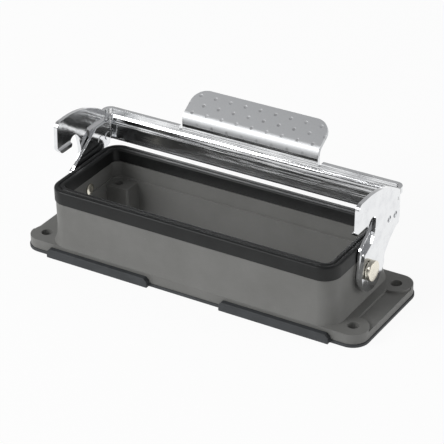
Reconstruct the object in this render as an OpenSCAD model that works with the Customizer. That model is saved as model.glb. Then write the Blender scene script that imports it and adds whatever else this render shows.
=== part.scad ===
// Panel base housing of a heavy duty rectangular connector, with one locking lever.
// Frame: millimetres. X runs along the housing, Y towards the lever's bar, Z up from the panel.
// The origin is the centre of the four fixing holes, on the underside of the flange gasket.

/* [Insert opening] */
// Length of the opening that takes the contact insert
opening_l = 111.8; // [104:0.1:120]
// Width of the opening
opening_w = 35.2; // [32:0.1:40]
// Corner radius of the opening
opening_r = 3.2; // [2:0.1:5]
// Step of the lower wall into the opening
ledge_w = 0.5; // [0.3:0.05:1]
// Height of that step above the panel
ledge_z = 16.2; // [12:0.1:17]
// Distance between the insert's screws along the opening
insert_x = 104; // [98:0.5:106]
// Distance between the insert's screws across the opening
insert_y = 27; // [24:0.5:28]
// Core radius of the insert's threaded holes
insert_hole_r = 1.65; // [1.2:0.05:2]
// Depth of the insert's threaded holes
insert_hole_depth = 10.5; // [6:0.5:12]
// Top of the corner pillars above the panel
pillar_top = 15.4; // [13:0.1:16]
// Length of a corner pillar along the opening
pillar_l = 10; // [8:0.5:13]
// Width of a corner pillar across the opening
pillar_w = 7.6; // [6.5:0.1:9]

/* [Housing wall] */
// Thickness of the wall
wall_t = 3.3; // [2.8:0.1:4]
// Corner radius of the wall's outside
wall_r = 6.2; // [4.5:0.1:8]
// Height of the shoulder that the seal's outer skirt stops at
shoulder_z = 22.3; // [20:0.1:23]
// Height of the tongue above the shoulder
tongue_h = 3.4; // [2.5:0.1:4]
// Depth of the rebate on each side of the tongue
rebate = 0.85; // [0.6:0.05:1]
// Spread of the wall's foot at the flange
foot_spread = 1.4; // [0.8:0.05:1.4]
// Height of the drafted foot above the flange
foot_h = 7; // [5:0.5:7.5]

/* [Flange] */
// Thickness of the cast flange
flange_t = 3.8; // [3:0.1:5]
// Edge of the flange outside the wall along the long sides
flange_edge = 1.5; // [1.4:0.05:3]
// Distance from the wall's end to the centre of a fixing hole
fix_out = 5.8; // [5.2:0.1:8]
// Distance from a fixing hole's centre to the flange's end
fix_end = 6; // [5.8:0.1:9]
// Distance from the wall's long side to a fixing hole's centre, inwards
fix_in = 4.9; // [4:0.1:7]
// Radius of the fixing holes
fix_r = 2.15; // [1.6:0.05:2.4]
// Corner radius of the flange
flange_r = 6; // [3:0.5:9]
// Radius of the raised pad round each fixing hole
pad_r = 5.6; // [4.5:0.1:6]
// Depth of the relief between the pads
relief_depth = 0.9; // [0.4:0.05:1.2]
// Distance from the wall's end to the relief
relief_out = 4.8; // [3:0.1:6]

/* [Flange gasket] */
// Thickness of the gasket sheet
gasket_t = 1.2; // [0.8:0.1:2]
// Distance by which the gasket stands out past the flange
gasket_edge = 0.4; // [0.2:0.05:1]
// Length of each upright lip
lip_l = 44.3; // [30:0.1:48]
// Distance between the two lips of one side
lip_gap = 30.4; // [20:0.1:34]
// Height of the lips above the panel
lip_h = 3.7; // [2:0.1:5]
// Thickness of the lips
lip_t = 2; // [1:0.1:3]
// Width of the gasket sheet inside the wall's outline
gasket_in = 2.6; // [1.5:0.1:3]

/* [Rim seal] */
// Skin of the seal outside the wall's faces
seal_skin = 0.4; // [0.2:0.05:0.5]
// Rubber above the tongue
seal_cap = 2; // [1.2:0.1:3]
// Bevel along the seal's top edges
seal_bevel = 0.7; // [0.3:0.05:1]
// Depth of the groove along the middle of the seal's top
seal_groove = 0.5; // [0.2:0.05:1]

/* [Pivot] */
// Height of the pivot above the panel
pivot_z = 18.2; // [17.5:0.1:19.5]
// Radius of the pin where the lever turns on it
pivot_r = 2.9; // [2.2:0.05:3.2]
// Radius of the pin in the wall
shank_r = 1.8; // [1.2:0.05:2]
// Clearance of the pin in the wall
shank_gap = 0.03; // [0.02:0.01:0.06]
// Radius of the pin's head
head_r = 3.8; // [3.5:0.1:5]
// Thickness of the pin's head
head_t = 1.7; // [1:0.1:2.5]
// Radius of the rivet end inside the housing
rivet_r = 2.2; // [2.1:0.05:3]
// Thickness of the rivet end
rivet_t = 0.7; // [0.4:0.05:1]
// Radius of the wall's pad round the pin
boss_r = 5.6; // [5:0.1:7]
// Height of that pad
boss_h = 0.4; // [0.2:0.05:0.5]
// Running clearance of the lever on the pin
run_gap = 0.05; // [0.02:0.01:0.09]
// Side clearance of the lever
side_gap = 0.3; // [0.2:0.05:0.5]

/* [Lever] */
// Thickness of the lever's sheet
sheet_t = 1.5; // [1.2:0.1:1.8]
// Inside radius of the bends between bar and arms
bend_r = 1.5; // [1.2:0.1:2.5]
// Depth by which the lower sheet is set in
offset_d = 0.8; // [0.5:0.05:1]
// Distance from the pivot back to the bends
bend_y = 21.9; // [21.9:0.1:24]
// Bottom of the bar above the pivot
bar_low = 10; // [9.8:0.1:12]
// Height of the crease above the pivot
crease_z = 19.65; // [18:0.1:20.5]
// Top of the bar above the pivot
bar_top = 22.5; // [21.9:0.1:22.8]
// Distance from the pivot back to the upright crease of each arm
crease_y = 8.5; // [7.5:0.1:10]
// Bottom of the neck's slope above the pivot
neck_low = 11.5; // [10:0.5:13]
// Radius of the lobe round the pin
eye_r = 7.6; // [6.8:0.1:8]
// Distance of the lobe's centre behind the pin
eye_y = 2.3; // [1:0.1:2.8]
// Distance of the lobe's centre below the pin
eye_drop = 1.5; // [0.5:0.1:1.8]
// Height of the peg slot's centre above the pivot
slot_z = 18.3; // [17.5:0.1:18.6]
// Radius of the peg slot
slot_r = 2.8; // [2.4:0.05:3]
// Inside radius of the lip rolled in under each hook
hook_roll = 1; // [0.6:0.1:1.2]

/* [Handle] */
// Width of the handle
handle_w = 57.6; // [40:0.1:70]
// Length of the handle's flat plate
handle_l = 10.4; // [9:0.1:20]
// Tilt of the handle above the horizontal
handle_tilt = 32; // [20:1:70]
// Corner radius of the handle
handle_r = 6; // [3:0.5:8]
// Height of the fold above the bar's top
fold_rise = 2.1; // [1:0.1:4]
// Inside radius of the fold
fold_r = 3; // [0.8:0.1:4]
// Width of the relief notch at each end of the fold
notch_w = 1.5; // [1:0.1:2]
// Depth of those notches
notch_d = 1.6; // [1:0.1:2]

/* [Pivot plates] */
// Thickness of the plate inside each arm
plate_t = 1.1; // [0.9:0.05:1.1]
// Set-back of the plate's lobe from the arm's
plate_back = 0.3; // [0:0.1:1]
// Radius of the clinched buttons that join plate and arm
clinch_r = 1.3; // [1:0.1:1.6]
// Depth of the clinched buttons
clinch_d = 0.25; // [0.1:0.05:0.3]

/* [Hidden] */
$fn = 64;
eps = 0.01;
far = 60;

// outside of the wall, flange and gasket
wall_l = opening_l + 2 * wall_t;
wall_w = opening_w + 2 * wall_t;
fix_x = wall_l + 2 * fix_out;
fix_y = wall_w - 2 * fix_in;
flange_l = fix_x + 2 * fix_end;
flange_w = wall_w + 2 * flange_edge;
flange_top = gasket_t + flange_t;
tongue_z = shoulder_z + tongue_h;
seal_top = tongue_z + seal_cap;

// planes across the pivot, from the wall outwards
wall_x = wall_l / 2;
seal_x = wall_x + seal_skin;
boss_x = wall_x + boss_h;
plate_x = max(seal_x, boss_x) + side_gap;
low_x = plate_x + plate_t;
high_x = low_x + offset_d;
head_x = low_x + sheet_t + side_gap;

// bends of the lever
bend_x = high_x - bend_r;
crease_h = offset_d / 2;
bar_y = bend_y + bend_r;
fold_z = pivot_z + bar_top + fold_rise;
fold_y = bar_y + sheet_t + fold_r;

// side outline of the arms, as [y, z, corner radius] from the pivot
nose_y = -10.4;
hook_low = slot_z - 0.5;
roll_z = hook_low + hook_roll + sheet_t;
crown_c = [-3, -9.4];
crown_r = 39.6;
arm_back = [[3.3, 12.4, 2], [1, 9.3, 4], [-3.4, 7.4, 1.5], [-4.9, 0.6, 6], [-5, -1.5, 0], [2, -8.6, 0],
    [9.4, -5.2, 1], [11.2, -2.6, 3], [11, 0.4, 3], [15.2, 4.9, 8], [19.6, 7.7, 4]];
arm_heel = 8.3;
plate_outline = [[-4.4, -1.5, 0], [-4.2, 8.8, 5], [11.8, 19, 2], [20.6, 19, 1.5], [20.6, 9.6, 1.5],
    [18.6, 8.6, 3], [12, 3.6, 6], [10.2, -2, 3], [8, -5.4, 1], [2, -8, 0]];
clinch_at = [[14.4, 13.2], [18.9, 12.9]];

function between(a, b, s) = a + (b - a) * s;
function unit(v) = v / norm(v);

// A round corner at b between a and c, as points on its arc
function corner(a, b, c, r, n = 6) =
    r <= 0 ? [b] :
    let (u = unit(a - b), v = unit(c - b), half = acos(max(-1, min(1, u * v))) / 2,
        d = r / tan(half), m = b + unit(u + v) * r / sin(half),
        p = b + u * d - m, q = b + v * d - m,
        a0 = atan2(p[1], p[0]), turn = atan2(p[0] * q[1] - p[1] * q[0], p * q))
    [for (i = [0 : n]) m + r * [cos(a0 + turn * i / n), sin(a0 + turn * i / n)]];

// The outline through [y, z, radius] points, with each corner rounded
function rounded(pts) = [
    for (i = [0 : len(pts) - 1])
        let (k = len(pts), a = pts[(i + k - 1) % k], b = pts[i], c = pts[(i + 1) % k])
        each corner([a[0], a[1]], [b[0], b[1]], [c[0], c[1]], b[2])
];

function crown_point(y) = [y, crown_c[1] + sqrt(crown_r * crown_r - pow(y - crown_c[0], 2)), 0];
crown_back = crown_c[0] + sqrt(crown_r * crown_r - pow(bar_top - crown_c[1], 2));
slot_y = 0.3;
slot_end = [for (i = [0 : 8]) [slot_y - slot_r * cos(180 * i / 8), slot_z + slot_r * sin(180 * i / 8), 0]];
crown = [for (i = [0 : 10]) crown_point(between(crown_back, -6, i / 10))];

module slab(l, w, r, z0, z1) {
    // an upright slab with round corners
    translate([0, 0, z0]) linear_extrude(z1 - z0) round_rect(l, w, r);
}

module round_rect(l, w, r) {
    square([l, w - 2 * r], center = true);
    square([l - 2 * r, w], center = true);
    for (sx = [-1, 1], sy = [-1, 1]) translate([sx * (l / 2 - r), sy * (w / 2 - r)]) circle(r);
}

module side_sheet(x0, x1) {
    // extrudes an outline drawn as (y, z) from the pivot, from x0 to x1
    translate([x0, 0, pivot_z]) rotate([90, 0, 90]) linear_extrude(x1 - x0) children();
}

module four(x, y) {
    for (sx = [-1, 1], sy = [-1, 1]) translate([sx * x / 2, sy * y / 2]) children();
}

module both_ends() {
    children();
    mirror([1, 0, 0]) children();
}

// ---- housing ----

module flange_body() {
    difference() {
        slab(flange_l, flange_w, flange_r, gasket_t, flange_top);
        both_ends() pad_relief();
    }
}

module pad_relief() {
    // the lower strip between the two raised pads of one end
    relief_x = wall_l / 2 + relief_out;
    translate([0, 0, flange_top - relief_depth]) linear_extrude(far) difference() {
        translate([relief_x, -fix_y / 2]) square([far, fix_y]);
        four(fix_x, fix_y) circle(pad_r);
    }
}

module drafted_foot() {
    // a steep fillet at the flange, then a slight draft up the wall
    foot_step(foot_spread, flange_top, foot_spread / 4, flange_top + 0.4 * foot_h);
    foot_step(foot_spread / 4, flange_top + 0.4 * foot_h, 0, flange_top + foot_h);
}

module foot_step(spread0, z0, spread1, z1) {
    hull() {
        slab(wall_l + 2 * spread0, wall_w + 2 * spread0, wall_r + spread0, z0 - eps, z0);
        slab(wall_l + 2 * spread1, wall_w + 2 * spread1, wall_r + spread1, z1, z1 + eps);
    }
}

module wall_body() {
    slab(wall_l, wall_w, wall_r, gasket_t, shoulder_z);
    slab(wall_l - 2 * rebate, wall_w - 2 * rebate, wall_r - rebate, shoulder_z - eps, tongue_z);
    drafted_foot();
    both_ends() pin_pad();
}

module pin_pad() {
    // a raised round pad for the pin's collar, cut level with the seal's shoulder
    difference() {
        translate([wall_x - eps, 0, pivot_z]) rotate([0, 90, 0]) cylinder(h = boss_h + eps, r = boss_r);
        translate([0, -far, shoulder_z]) cube([2 * far, 2 * far, far]);
    }
}

module insert_well() {
    slab(opening_l, opening_w, opening_r, ledge_z, shoulder_z + eps);
    slab(opening_l + 2 * rebate, opening_w + 2 * rebate, opening_r + rebate, shoulder_z, far);
    difference() {
        slab(opening_l - 2 * ledge_w, opening_w - 2 * ledge_w, opening_r, -eps, ledge_z + eps);
        corner_pillars();
    }
}

module corner_pillars() {
    px = opening_l / 2 - pillar_l;
    py = opening_w / 2 - pillar_w;
    for (sx = [-1, 1], sy = [-1, 1]) flip(sx, sy)
        translate([px, py, -far]) linear_extrude(far + pillar_top) union() {
            translate([0, 1]) square([far, far]);
            translate([1, 0]) square([far, far]);
            translate([1, 1]) circle(1);
        }
}

module flip(sx, sy) {
    mirror([sx < 0 ? 1 : 0, 0, 0]) mirror([0, sy < 0 ? 1 : 0, 0]) children();
}

module housing() {
    color([0.46, 0.46, 0.45]) difference() {
        union() {
            flange_body();
            wall_body();
        }
        insert_well();
        four(fix_x, fix_y) cylinder(h = far, r = fix_r, center = true);
        four(insert_x, insert_y) translate([0, 0, pillar_top - insert_hole_depth])
            cylinder(h = far, r = insert_hole_r);
        translate([0, 0, pivot_z]) rotate([0, 90, 0]) cylinder(h = 4 * far, r = shank_r + shank_gap, center = true);
    }
}

// ---- seals ----

module rim_seal() {
    outer_l = wall_l + 2 * seal_skin;
    outer_w = wall_w + 2 * seal_skin;
    inner_l = opening_l - 2 * seal_skin;
    inner_w = opening_w - 2 * seal_skin;
    groove = (wall_t + 2 * seal_skin) / 2;
    color([0.13, 0.14, 0.14]) difference() {
        union() {
            slab(outer_l, outer_w, wall_r + seal_skin, shoulder_z, seal_top - seal_bevel);
            slab(outer_l - 2 * seal_bevel, outer_w - 2 * seal_bevel, wall_r + seal_skin - seal_bevel,
                shoulder_z, seal_top);
        }
        slab(inner_l, inner_w, opening_r - seal_skin, 0, far);
        slab(wall_l - 2 * rebate, wall_w - 2 * rebate, wall_r - rebate, 0, tongue_z);
        difference() {
            slab(outer_l - 2 * groove + 2 * seal_groove, outer_w - 2 * groove + 2 * seal_groove,
                wall_r - groove / 2, seal_top - seal_groove, far);
            slab(outer_l - 2 * groove, outer_w - 2 * groove, wall_r - groove, 0, far + eps);
        }
    }
    color([0.13, 0.14, 0.14]) difference() {
        slab(opening_l + 2 * rebate, opening_w + 2 * rebate, opening_r + rebate, shoulder_z, tongue_z + eps);
        slab(inner_l, inner_w, opening_r - seal_skin, 0, far);
    }
}

module flange_gasket() {
    gasket_l = flange_l + 2 * gasket_edge;
    gasket_w = flange_w + 2 * gasket_edge;
    color([0.24, 0.26, 0.27]) difference() {
        union() {
            slab(gasket_l, gasket_w, flange_r + gasket_edge, 0, gasket_t);
            for (sy = [-1, 1], sx = [-1, 1]) translate([sx * (lip_gap + lip_l) / 2, 0, 0]) lip(sy);
        }
        slab(wall_l - 2 * gasket_in, wall_w - 2 * gasket_in, wall_r - gasket_in, -eps, far);
        four(fix_x, fix_y) cylinder(h = far, r = fix_r, center = true);
    }
}

module lip(side) {
    // an upright lip with bevelled ends, against the flange's long edge
    flip(1, side) translate([0, flange_w / 2, 0]) {
        translate([0, lip_t, 0]) rotate([90, 0, 0]) linear_extrude(lip_t) polygon([
            [-lip_l / 2, 0], [lip_l / 2, 0], [lip_l / 2, lip_h - 1.2],
            [lip_l / 2 - 1.2, lip_h], [1.2 - lip_l / 2, lip_h], [-lip_l / 2, lip_h - 1.2]
        ]);
    }
}

// ---- pivot ----

module pivot_pin() {
    color([0.86, 0.83, 0.74]) translate([0, 0, pivot_z]) rotate([0, 90, 0]) {
        translate([0, 0, opening_l / 2 - rivet_t]) cylinder(h = rivet_t, r = rivet_r);
        translate([0, 0, opening_l / 2 - eps]) cylinder(h = boss_x - opening_l / 2 + 2 * eps, r = shank_r);
        translate([0, 0, boss_x]) cylinder(h = head_x - boss_x + eps, r = pivot_r);
        translate([0, 0, head_x]) cylinder(h = head_t, r = head_r);
    }
}

module plate_shape() {
    polygon(rounded(plate_outline));
    translate([eye_y, -eye_drop]) circle(eye_r - plate_back);
}

module pivot_plate() {
    color([0.62, 0.63, 0.62]) difference() {
        union() {
            side_sheet(plate_x, low_x) plate_shape();
            side_sheet(plate_x - clinch_d, plate_x + eps) clinches(clinch_r + 0.3);
        }
        side_sheet(low_x - clinch_d, low_x + far) clinches(clinch_r);
        side_sheet(0, 2 * far) circle(pivot_r + run_gap);
    }
}

module clinches(r) {
    for (p = clinch_at) translate(p) circle(r);
}

// ---- lever ----

module arm_shape() {
    polygon(rounded(concat(
        [[bend_y, bar_top, 0]], crown,
        [[nose_y + 0.7, 30.2, 2.6], [nose_y, hook_low, 2.2], [slot_y - slot_r, hook_low, 0.8]],
        slot_end, [[slot_y + slot_r + 0.3, 15, 4]], arm_back, [[bend_y, arm_heel, 0]]
    )));
    translate([eye_y, -eye_drop]) circle(eye_r);
}

module upright_step(x) {
    // everything inside a face that steps out by offset_d in front of the upright crease
    linear_extrude(4 * far, center = true) polygon([
        [0, -far], [x + offset_d, -far], [x + offset_d, crease_y - crease_h],
        [x, crease_y + crease_h], [x, far], [0, far]
    ]);
}

module level_step(x, z0, z1) {
    // everything inside a face that steps out by offset_d from height z0 to height z1
    translate([0, far, pivot_z]) rotate([90, 0, 0]) linear_extrude(2 * far) polygon([
        [0, -far], [x, -far], [x, z0], [x + offset_d, z1], [x + offset_d, far], [0, far]
    ]);
}

module inside_face(x) {
    level_step(x, crease_z - crease_h, crease_z + crease_h);
    intersection() {
        upright_step(x);
        level_step(x, neck_low, crease_z);
    }
}

module arm() {
    intersection() {
        side_sheet(low_x - 1, high_x + sheet_t + 1) arm_body_shape();
        difference() {
            inside_face(low_x + sheet_t);
            inside_face(low_x);
        }
    }
    rolled_lip();
}

module arm_body_shape() {
    // the arm's outline without the lip under the hook
    difference() {
        arm_shape();
        translate([-far, hook_low - 1]) square([far - 2.5, roll_z - hook_low + 1]);
    }
}

module rolled_lip() {
    lip_len = -3.3 - nose_y + 0.8;
    intersection() {
        translate([0, nose_y, pivot_z + roll_z]) translate([0, lip_len, 0]) rotate([90, 0, 0])
            linear_extrude(lip_len) translate([high_x - hook_roll, 0]) intersection() {
                difference() {
                    circle(hook_roll + sheet_t);
                    circle(hook_roll);
                }
                translate([-eps, -far]) square([far, far + eps]);
            }
        side_sheet(0, 2 * far) arm_shape();
    }
}

module bar_profile() {
    // section of the bar: distance from the bend's axis, height
    z0 = pivot_z + bar_low;
    zc = pivot_z + crease_z;
    z1 = pivot_z + bar_top;
    low = bend_r - offset_d;
    polygon([[low, z0], [low + sheet_t, z0], [low + sheet_t, zc - crease_h],
        [bend_r + sheet_t, zc + crease_h], [bend_r + sheet_t, z1], [bend_r, z1],
        [bend_r, zc + crease_h], [low, zc - crease_h]]);
}

module bar() {
    difference() {
        union() {
            translate([-bend_x, bend_y, 0]) rotate([90, 0, 90]) linear_extrude(2 * bend_x) bar_profile();
            both_ends() translate([bend_x, bend_y, 0]) rotate_extrude(angle = 90) bar_profile();
        }
        both_ends() translate([handle_w / 2, bar_y - 1, pivot_z + bar_top - notch_d])
            cube([notch_w, sheet_t + 2, far]);
    }
}

function fold_arc(r, a0, a1) = [for (i = [0 : 10]) r * [cos(between(a0, a1, i / 10)), sin(between(a0, a1, i / 10))]];

function handle_section() =
    let (far_r = fold_r + sheet_t, along = [cos(handle_tilt), sin(handle_tilt)],
        out = [-sin(handle_tilt), cos(handle_tilt)], a = 90 + handle_tilt)
    concat([[-far_r, -fold_rise - eps]], fold_arc(far_r, 180, a), [far_r * out + handle_l * along],
        [fold_r * out + handle_l * along], fold_arc(fold_r, a, 180), [[-fold_r, -fold_rise - eps]]);

module handle_corner() {
    translate([0, fold_y, fold_z]) rotate([handle_tilt, 0, 0])
        translate([handle_w / 2 - handle_r, handle_l - handle_r, fold_r - 1]) linear_extrude(sheet_t + 2)
            difference() {
                square(handle_r + 1);
                circle(handle_r);
            }
}

module handle() {
    difference() {
        translate([-handle_w / 2, fold_y, fold_z]) rotate([90, 0, 90]) linear_extrude(handle_w)
            polygon(handle_section());
        both_ends() handle_corner();
    }
}

module lever() {
    color([0.78, 0.79, 0.80]) difference() {
        union() {
            bar();
            handle();
            both_ends() arm();
            both_ends() side_sheet(low_x - clinch_d, low_x + eps) clinches(clinch_r);
        }
        both_ends() side_sheet(0, 2 * far) circle(pivot_r + run_gap);
        both_ends() side_sheet(low_x + sheet_t - 2 * clinch_d, 2 * far) clinches(clinch_r);
    }
}

housing();
rim_seal();
flange_gasket();
lever();
mirror([1, 0, 0]) pivot_plate();  // pivot_plate_left
pivot_plate();  // pivot_plate_right
mirror([1, 0, 0]) pivot_pin();  // pivot_pin_left
pivot_pin();  // pivot_pin_right
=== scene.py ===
"""Panel base housing of a heavy duty rectangular connector, dressed for rendering.

Metres throughout; a length in millimetres is multiplied by MM, and materials work in millimetres.
X runs along the housing, Y towards the lever's bar, Z up from the panel.
"""

import math

import bmesh
import bpy
from mathutils import Matrix, Vector


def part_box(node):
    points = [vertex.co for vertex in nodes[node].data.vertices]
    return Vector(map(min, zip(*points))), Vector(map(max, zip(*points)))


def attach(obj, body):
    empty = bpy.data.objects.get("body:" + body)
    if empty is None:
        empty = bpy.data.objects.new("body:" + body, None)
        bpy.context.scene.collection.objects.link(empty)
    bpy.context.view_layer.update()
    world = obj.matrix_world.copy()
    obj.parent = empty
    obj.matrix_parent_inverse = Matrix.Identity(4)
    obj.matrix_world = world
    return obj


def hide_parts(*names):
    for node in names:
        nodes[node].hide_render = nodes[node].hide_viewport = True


MM = 0.001

# the lever's bar and its grip tab, in millimetres
BAR_TOP_Z = 40.7
CREASE_Z = 37.85
BAR_FRONT_Y = 21.1
GRIP_HALF = 30.1
GRIP_TILT = math.radians(32)
# the matt finish starts where z - GRIP_LEAN * y passes GRIP_BASE
GRIP_LEAN = 0.55
GRIP_BASE = 29.3
# the grip's dots: pitch along a row, distance between rows, radius, and the first row's place up the tab
DOT_PITCH = 6.4
DOT_STEP = 3.9
DOT_R = 0.62
DOT_ROW = 46.2

# the pivot pin, in metres
RIVET_R, RIVET_T = 2.2 * MM, 0.7 * MM
SHANK_R, SHANK_END = 1.8 * MM, 4.41 * MM
JOURNAL_R = 2.9 * MM
HEAD_T = 1.7 * MM

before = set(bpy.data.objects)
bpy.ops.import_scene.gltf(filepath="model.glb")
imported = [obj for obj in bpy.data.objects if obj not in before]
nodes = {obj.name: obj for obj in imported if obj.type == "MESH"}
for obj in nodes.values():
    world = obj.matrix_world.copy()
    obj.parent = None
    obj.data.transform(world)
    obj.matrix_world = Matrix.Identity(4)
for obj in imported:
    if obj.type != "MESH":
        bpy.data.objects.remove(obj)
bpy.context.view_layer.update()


# ---------------------------------------------------------------- shader expressions


class Wire:
    """One output of a shader node. Arithmetic on it adds the Math nodes it needs."""

    def __init__(self, paint, socket):
        self.paint, self.socket = paint, socket

    def math(self, operation, *others):
        return self.paint.node("Math", {"operation": operation}, [self, *others])

    def __add__(self, other):
        return self.math("ADD", other)

    def __sub__(self, other):
        return self.math("SUBTRACT", other)

    def __rsub__(self, other):
        return self.paint.node("Math", {"operation": "SUBTRACT"}, [other, self])

    def __mul__(self, other):
        return self.math("MULTIPLY", other)

    def __abs__(self):
        return self.math("ABSOLUTE")

    __radd__ = __add__
    __rmul__ = __mul__

    def ramp(self, low, high):
        """0 at low, 1 at high, straight between; high may be the smaller."""
        settings = {"data_type": "FLOAT", "clamp": True}
        return self.paint.node("MapRange", settings, {"Value": self, "From Min": low, "From Max": high})


class Tree:
    """A node tree. Every node in it comes from node()."""

    def __init__(self, tree, keep=()):
        self.tree = tree
        for old in [n for n in tree.nodes if n.type not in keep]:
            tree.nodes.remove(old)

    def put(self, socket, value):
        if isinstance(value, Wire):
            self.tree.links.new(value.socket, socket)
        elif isinstance(value, tuple) and socket.type == "RGBA":
            socket.default_value = (*value[:3], 1)
        else:
            socket.default_value = value

    def node(self, kind, settings=None, inputs=None, output=0):
        made = self.tree.nodes.new("ShaderNode" + kind)
        for name, value in (settings or {}).items():
            if name == "stops":
                ramp = made.color_ramp.elements
                while len(ramp) < len(value):
                    ramp.new(0.5)
                for stop, (place, colour) in zip(ramp, value):
                    stop.position, stop.color = place, (*colour, 1)
            else:
                setattr(made, name, value)
        pairs = inputs.items() if isinstance(inputs, dict) else enumerate(inputs or [])
        for name, value in pairs:
            self.put(made.inputs[name], value)
        return Wire(self, made.outputs[output]) if made.outputs else None


class Paint(Tree):
    """A material with one Principled shader, built node by node."""

    def __init__(self, name, **constants):
        self.material = bpy.data.materials.new(name)
        self.material.use_nodes = True
        super().__init__(self.material.node_tree, keep=("BSDF_PRINCIPLED", "OUTPUT_MATERIAL"))
        self.shader = self.tree.nodes["Principled BSDF"]
        self.set(**constants)

    def set(self, **values):
        for name, value in values.items():
            self.put(self.shader.inputs[name.replace("_", " ")], value)

    def place(self):
        """The point in the row frame, in millimetres."""
        coords = self.node("TexCoord", output="Object")
        return self.node("VectorMath", {"operation": "SCALE"}, {"Vector": coords, "Scale": 1 / MM})

    def axes(self, place):
        made = self.node("SeparateXYZ", None, [place]).socket.node
        return [Wire(self, made.outputs[i]) for i in range(3)]

    def stretch(self, place, x, y, z):
        return self.node("VectorMath", {"operation": "MULTIPLY"}, [place, Vector((x, y, z))])

    def noise(self, place, scale, detail=2.0, roughness=0.5):
        inputs = {"Vector": place, "Scale": scale, "Detail": detail, "Roughness": roughness}
        return self.node("TexNoise", None, inputs)

    def mix(self, factor, a, b):
        """Colour a at factor 0, colour b at factor 1."""
        return self.node("Mix", {"data_type": "RGBA"}, {0: factor, 6: a, 7: b}, output=2)

    def bump(self, height, distance, strength=1.0, onto=None):
        inputs = {"Height": height, "Distance": distance, "Strength": strength}
        if onto is not None:
            inputs["Normal"] = onto
        return self.node("Bump", None, inputs)


# ---------------------------------------------------------------- finishes


def grey_powder_coat():
    """Die-cast metal under a fine, slightly pebbled grey coat."""
    paint = Paint("grey_powder_coat", Metallic=0.0, IOR=1.48)
    place = paint.place()
    pebble = paint.noise(place, 1.9, 3.0, 0.55)
    fine = paint.noise(place, 6.0, 2.0, 0.5)
    cloud = paint.noise(place, 0.06, 3.0, 0.6)
    speck = paint.noise(place, 2.6, 1.0).ramp(0.70, 0.76)
    tone = paint.mix(cloud.ramp(0.35, 0.65), (0.166, 0.166, 0.158), (0.190, 0.190, 0.182))
    tone = paint.mix(speck * 0.35, tone, (0.30, 0.30, 0.29))
    paint.set(
        Base_Color=tone,
        Roughness=0.46 + pebble * 0.12 + speck * 0.1,
        Normal=paint.bump(pebble * 0.7 + fine * 0.3, 0.10 * MM, 0.35),
    )
    return paint.material


def seal_rubber():
    """Moulded black rubber with a faint bloom."""
    paint = Paint("seal_rubber", Metallic=0.0, IOR=1.4)
    place = paint.place()
    grain = paint.noise(place, 3.5, 3.0, 0.6)
    bloom = paint.noise(place, 0.12, 4.0, 0.65)
    dust = paint.noise(place, 4.5, 0.0).ramp(0.76, 0.82)
    tone = paint.mix(bloom.ramp(0.4, 0.7), (0.004, 0.0045, 0.0045), (0.010, 0.011, 0.011))
    paint.set(
        Base_Color=paint.mix(dust * 0.3, tone, (0.09, 0.09, 0.09)),
        Roughness=0.34 + bloom * 0.2 + grain * 0.06,
        Normal=paint.bump(grain, 0.05 * MM, 0.4),
    )
    return paint.material


def gasket_rubber():
    """Dark grey moulded sheet with a flatter look than the rim seal."""
    paint = Paint("gasket_rubber", Metallic=0.0, IOR=1.5)
    place = paint.place()
    grain = paint.noise(place, 2.8, 3.0, 0.6)
    bloom = paint.noise(place, 0.15, 3.0, 0.6)
    paint.set(
        Base_Color=paint.mix(bloom.ramp(0.35, 0.7), (0.030, 0.033, 0.036), (0.045, 0.049, 0.053)),
        Roughness=0.52 + grain * 0.14,
        Normal=paint.bump(grain, 0.05 * MM, 0.5),
    )
    return paint.material


def rolled_profile(z, crease, top):
    """Height of the bar's slight bows, in millimetres: where it falls with z the face leans back."""
    above = z.ramp(crease + 0.5, top + 0.2) * -0.44
    rise = z.ramp(crease - 1.6, crease - 0.6) * 0.10
    fall = z.ramp(crease - 3.4, crease - 1.9) * -0.26
    low = z.ramp(crease - 8.6, crease - 7.2) * -0.10
    return above + rise + fall + low


def dot_rows(along, down, pitch, step, radius):
    """Staggered rows of round dots: 1 in a dot, 0 between them."""
    dots = None
    for shift in (0.0, 0.5):
        a = ((along * (1 / pitch) + shift).math("FRACT") - 0.5) * pitch
        b = ((down * (0.5 / step) + shift).math("FRACT") - 0.5) * (2 * step)
        dot = (a * a + b * b).math("SQRT").ramp(radius * 1.25, radius * 0.55)
        dots = dot if dots is None else dots.math("MAXIMUM", dot)
    return dots


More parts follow.
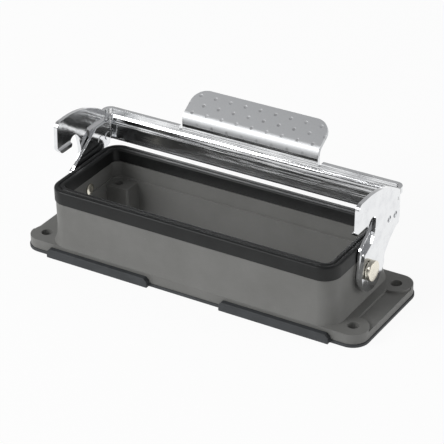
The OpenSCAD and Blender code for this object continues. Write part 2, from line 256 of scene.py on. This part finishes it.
def plated_steel():
    """Bright plated sheet with drawn bows and hairlines, and a matt dotted grip tab with painted shade
    in its dots.
    """
    paint = Paint("plated_steel", Metallic=1.0)
    place = paint.place()
    x, y, z = paint.axes(place)
    above = (z - GRIP_LEAN * y).ramp(GRIP_BASE - 0.12, GRIP_BASE + 0.12)
    grip = above * abs(x).ramp(GRIP_HALF + 0.1, GRIP_HALF - 0.1)
    bar = y.ramp(BAR_FRONT_Y - 0.5, BAR_FRONT_Y + 0.5) * (1 - grip)
    up_tab = math.cos(GRIP_TILT) * y + math.sin(GRIP_TILT) * z
    lines = paint.noise(paint.stretch(place, 0.012, 0.3, 1.0), 1.1, 3.0, 0.65)
    waves = paint.noise(paint.stretch(place, 0.3, 1.0, 1.0), 0.10, 2.0)
    hair = paint.noise(paint.stretch(place, 0.05, 2.0, 2.0), 3.0, 3.0, 0.7)
    smudge = paint.noise(place, 0.16, 4.0, 0.62)
    matt = paint.noise(place, 5.0, 3.0, 0.6)
    # how deep the painted shade in each grip dimple is, varying across the tab
    strength = paint.noise(place, 0.21, 1.0).ramp(0.42, 0.62)
    dots = dot_rows(x, up_tab - DOT_ROW, DOT_PITCH, DOT_STEP, DOT_R) * grip
    tone = paint.mix(smudge.ramp(0.45, 0.75), (0.86, 0.87, 0.88), (0.74, 0.75, 0.77))
    tone = paint.mix(grip, tone, paint.mix(matt, (0.56, 0.57, 0.58), (0.66, 0.67, 0.68)))
    # painted shade: the recessed grip dimples are darkened in colour, some more than others
    tone = paint.mix(dots * (0.12 + strength * 0.45), tone, (0.25, 0.25, 0.25))
    shine = 0.07 + smudge.ramp(0.4, 0.8) * 0.08 + hair * 0.04
    bows = paint.bump((rolled_profile(z, CREASE_Z, BAR_TOP_Z) + lines * 0.10) * bar, MM)
    relief = (1 - grip) * (waves * 0.9 + hair * 0.02) + grip * (matt * 0.05 - dots * 0.35)
    paint.set(
        Base_Color=tone,
        Roughness=shine * (1 - grip) + grip * (0.48 + matt * 0.08),
        Normal=paint.bump(relief, 0.35 * MM, 0.5, bows),
    )
    return paint.material


def pin_steel():
    """Turned and plated pin with a warm, lightly brushed face."""
    paint = Paint("pin_steel", Metallic=1.0)
    place = paint.place()
    smudge = paint.noise(place, 0.5, 3.0)
    fine = paint.noise(place, 7.0, 2.0)
    paint.set(
        Base_Color=paint.mix(smudge, (0.80, 0.75, 0.62), (0.90, 0.87, 0.78)),
        Roughness=0.16 + smudge * 0.12 + fine * 0.05,
        Normal=paint.bump(fine, 0.02 * MM, 0.4),
    )
    return paint.material


# ---------------------------------------------------------------- mesh helpers


def dress(name, material, bevel):
    """Gives a CAD node its finish, merged flats and rounded edges."""
    node = nodes[name]
    node.data.materials.clear()
    node.data.materials.append(material)
    node.data.shade_smooth()
    weld = node.modifiers.new("join_edges", "WELD")
    weld.merge_threshold = 0.002 * MM
    flats = node.modifiers.new("merge_flats", "DECIMATE")
    flats.decimate_type = "DISSOLVE"
    flats.angle_limit = math.radians(0.6)
    edge = node.modifiers.new("round_edges", "BEVEL")
    edge.width = bevel
    edge.segments = 2
    edge.limit_method = "ANGLE"
    edge.angle_limit = math.radians(28)
    edge.miter_outer = "MITER_ARC"
    edge.use_clamp_overlap = True
    edge.harden_normals = False
    split = node.modifiers.new("even_shading", "WEIGHTED_NORMAL")
    split.keep_sharp = True
    return node


def make(name, mesh, material, body):
    mesh.materials.append(material)
    mesh.shade_smooth()
    piece = bpy.data.objects.new(name, mesh)
    bpy.context.collection.objects.link(piece)
    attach(piece, body)
    return piece


def grid_mesh(name, rings, closed_rings=True, caps=()):
    """A surface through rings of points; caps lists the rings (0 or -1) closed with a fan."""
    bm = bmesh.new()
    rows = [[bm.verts.new(p) for p in ring] for ring in rings]
    count = len(rings[0])
    pairs = list(zip(rows, rows[1:]))
    if closed_rings:
        pairs.append((rows[-1], rows[0]))
    for a, b in pairs:
        for i in range(count):
            j = (i + 1) % count
            bm.faces.new((a[i], a[j], b[j], b[i]))
    for end in caps:
        ring = rows[end]
        centre = bm.verts.new(sum((v.co for v in ring), Vector()) / count)
        for i in range(count):
            bm.faces.new((ring[i], ring[(i + 1) % count], centre))
    bmesh.ops.recalc_face_normals(bm, faces=bm.faces)
    mesh = bpy.data.meshes.new(name)
    bm.to_mesh(mesh)
    bm.free()
    return mesh


def rounded(points, steps=5):
    """The closed outline through (a, b, radius) points with each corner rounded."""
    out = []
    for k, (a, b, r) in enumerate(points):
        here = Vector((a, b))
        before = (Vector(points[k - 1][:2]) - here).normalized()
        after = (Vector(points[(k + 1) % len(points)][:2]) - here).normalized()
        half = before.angle(after) / 2
        if r <= 0 or half < 0.01 or half > math.pi / 2 - 0.01:
            out.append(here)
            continue
        centre = here + (before + after).normalized() * r / math.sin(half)
        start = here + before * r / math.tan(half) - centre
        end = here + after * r / math.tan(half) - centre
        turn = start.angle_signed(end)
        for i in range(steps + 1):
            out.append(centre + Matrix.Rotation(-turn * i / steps, 2) @ start)
    return out


def frame_ring(half_x, half_y, radius, z, corner_steps=14, side_steps=10):
    """Points round a rounded rectangle at height z."""
    signs = ((1, 1), (-1, 1), (-1, -1), (1, -1))
    corners = [Vector((sx * (half_x - radius), sy * (half_y - radius))) for sx, sy in signs]
    ring = []
    for k, centre in enumerate(corners):
        for i in range(corner_steps + 1):
            a = math.pi / 2 * (k + i / corner_steps)
            ring.append(centre + Vector((math.cos(a), math.sin(a))) * radius)
        a = math.pi / 2 * (k + 1)
        near, far = ring[-1], corners[(k + 1) % 4] + Vector((math.cos(a), math.sin(a))) * radius
        ring += [near.lerp(far, i / side_steps) for i in range(1, side_steps)]
    return [Vector((p.x, p.y, z)) for p in ring]


# ---------------------------------------------------------------- pieces


def rim_seal(material):
    """The rubber frame over the rim: two skirts, round shoulders and a groove along its top."""
    low, high = (Vector(c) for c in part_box("rim_seal"))
    foot, top = low.z, high.z
    half = 2.05 * MM
    half_x, half_y = high.x - half, high.y - half
    corner = 4.6 * MM
    skin = half - 0.9 * MM
    inner_foot = foot + 0.45 * MM
    under_cap = foot + 2.6 * MM
    shoulder = 0.75 * MM
    groove_x, groove_floor_x, groove_z = 0.42 * MM, 0.22 * MM, top - 0.42 * MM
    groove_r, floor_r = 0.16 * MM, 0.08 * MM
    foot_r = 0.1 * MM
    profile = [
        (-half, inner_foot, 0.12 * MM),
        (-half, top, shoulder),
        (-groove_x, top, groove_r),
        (-groove_floor_x, groove_z, floor_r),
        (groove_floor_x, groove_z, floor_r),
        (groove_x, top, groove_r),
        (half, top, shoulder),
        (half, foot, 0.18 * MM),
        (skin, foot, foot_r),
        (skin, under_cap, foot_r),
        (-skin, under_cap, foot_r),
        (-skin, inner_foot, foot_r),
    ]
    rings = [frame_ring(half_x + d, half_y + d, corner + d, z) for d, z in rounded(profile)]
    piece = make("rim_seal_skin", grid_mesh("rim_seal_skin", rings), material, "base")
    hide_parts("rim_seal")


def pivot_pin(side, material):
    """A headed pin turned on the lever's axis, riveted over inside the housing."""
    node = "pivot_pin_" + side
    low, high = (Vector(c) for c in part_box(node))
    sign = 1 if side == "right" else -1
    x0, x1 = (low.x, high.x) if sign > 0 else (-high.x, -low.x)
    axis_z = (low.z + high.z) / 2
    head = (high.z - low.z) / 2
    outline = [
        (x0 + 0.05 * MM, 0.9 * MM, 0),
        (x0, 1.2 * MM, 0.3 * MM),
        (x0 + 0.22 * MM, RIVET_R, 0.12 * MM),
        (x0 + RIVET_T, RIVET_R, 0),
        (x0 + RIVET_T, SHANK_R, 0),
        (x0 + SHANK_END, SHANK_R, 0),
        (x0 + SHANK_END, JOURNAL_R, 0.1 * MM),
        (x1 - HEAD_T, JOURNAL_R, 0.05 * MM),
        (x1 - HEAD_T, head, 0.14 * MM),
        (x1, head, 0.22 * MM),
        (x1, head * 0.45, 0),
        (x1 - 0.04 * MM, head * 0.2, 0),
    ]
    turns = [2 * math.pi * i / 64 for i in range(64)]
    rings = [
        [Vector((sign * along, radius * math.cos(a), axis_z + radius * math.sin(a))) for a in turns]
        for along, radius in rounded(outline, 4)
    ]
    mesh = grid_mesh(node + "_turned", rings, closed_rings=False, caps=(0, -1))
    piece = make(node + "_turned", mesh, material, "base")
    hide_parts(node)


# ---------------------------------------------------------------- studio


def surround():
    """A soft sky, brightest at the horizon, that the camera sees as plain white."""
    world = bpy.data.worlds.new("surround")
    bpy.context.scene.world = world
    world.use_nodes = True
    sky = Tree(world.node_tree)
    coords = sky.node("TexCoord", output="Generated")
    height = sky.node("SeparateXYZ", None, [coords], output="Z")
    stops = [(0.0, (0.95, 0.95, 0.95)), (0.85, (0.42, 0.42, 0.43))]
    tone = sky.node("ValToRGB", {"stops": stops}, [height])
    soft = sky.node("Background", None, {"Color": tone, "Strength": 0.62})
    plain = sky.node("Background", None, {"Color": (1, 1, 1), "Strength": 1.0})
    camera_ray = sky.node("LightPath", output="Is Camera Ray")
    sky.node("OutputWorld", None, [sky.node("MixShader", None, [camera_ray, soft, plain])])


def pale_floor():
    """A floor under the gasket that keeps the object's shadow and still shows pale in gloss."""
    reach = 3.0
    corners = [(-reach, -reach, 0), (reach, -reach, 0), (reach, reach, 0), (-reach, reach, 0)]
    mesh = bpy.data.meshes.new("floor")
    mesh.from_pydata(corners, [], [(0, 1, 2, 3)])
    floor = bpy.data.objects.new("floor", mesh)
    floor.location.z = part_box("flange_gasket")[0][2] - 0.05 * MM
    bpy.context.collection.objects.link(floor)
    material = bpy.data.materials.new("pale_floor")
    material.use_nodes = True
    tree = Tree(material.node_tree)
    matt = tree.node("BsdfDiffuse", None, {"Color": (0.93, 0.93, 0.93)})
    glow = tree.node("Emission", None, {"Strength": 1.0})
    camera_ray = tree.node("LightPath", output="Is Camera Ray")
    glossy_ray = tree.node("LightPath", output="Is Glossy Ray")
    share = camera_ray.math("MAXIMUM", glossy_ray) * 0.93
    tree.node("OutputMaterial", None, [tree.node("MixShader", None, [share, matt, glow])])
    mesh.materials.append(material)


def studio():
    """Pale floor, pale surround and two soft lamps."""
    surround()
    pale_floor()
    lamp("front_left_softbox", (-0.60, -0.68, 0.62), (0, 0, 0.01), 0.55, 7.0)
    lamp("right_softbox", (0.95, 0.35, 0.30), (0, 0, 0.01), 0.4, 2.0)


def lamp(name, place, aim, size, power):
    light = bpy.data.lights.new(name, "AREA")
    light.size = size
    light.energy = power
    made = bpy.data.objects.new(name, light)
    bpy.context.collection.objects.link(made)
    made.location = place
    made.rotation_euler = (Vector(aim) - Vector(place)).to_track_quat("-Z", "Y").to_euler()


def camera():
    """A long lens, high on the front right."""
    azimuth, height, roll = (math.radians(v) for v in (32.25, 29.81, -1.36))
    flat = math.cos(height)
    back = Vector((math.sin(azimuth) * flat, -math.cos(azimuth) * flat, math.sin(height)))
    level = Vector((math.cos(azimuth), math.sin(azimuth), 0))
    upright = back.cross(level)
    right = math.cos(roll) * level + math.sin(roll) * upright
    up = math.cos(roll) * upright - math.sin(roll) * level
    lens = bpy.data.cameras.new("camera")
    lens.sensor_width = 36
    lens.lens = 165.2
    lens.clip_start, lens.clip_end = 0.05, 20
    made = bpy.data.objects.new("camera", lens)
    bpy.context.collection.objects.link(made)
    turn = Matrix((right, up, back)).transposed()
    made.matrix_world = Matrix.Translation((0.3429, -0.5397, 0.3860)) @ turn.to_4x4()
    bpy.context.scene.camera = made


# ---------------------------------------------------------------- assembly

bpy.context.scene.view_settings.view_transform = "Standard"
camera()
studio()

coat = grey_powder_coat()
rubber = seal_rubber()
sheet_rubber = gasket_rubber()
plate = plated_steel()
pin = pin_steel()

dress("housing", coat, 0.35 * MM)
dress("flange_gasket", sheet_rubber, 0.2 * MM)
dress("lever", plate, 0.18 * MM)
dress("pivot_plate_left", plate, 0.15 * MM)
dress("pivot_plate_right", plate, 0.15 * MM)
rim_seal(rubber)
pivot_pin("left", pin)
pivot_pin("right", pin)
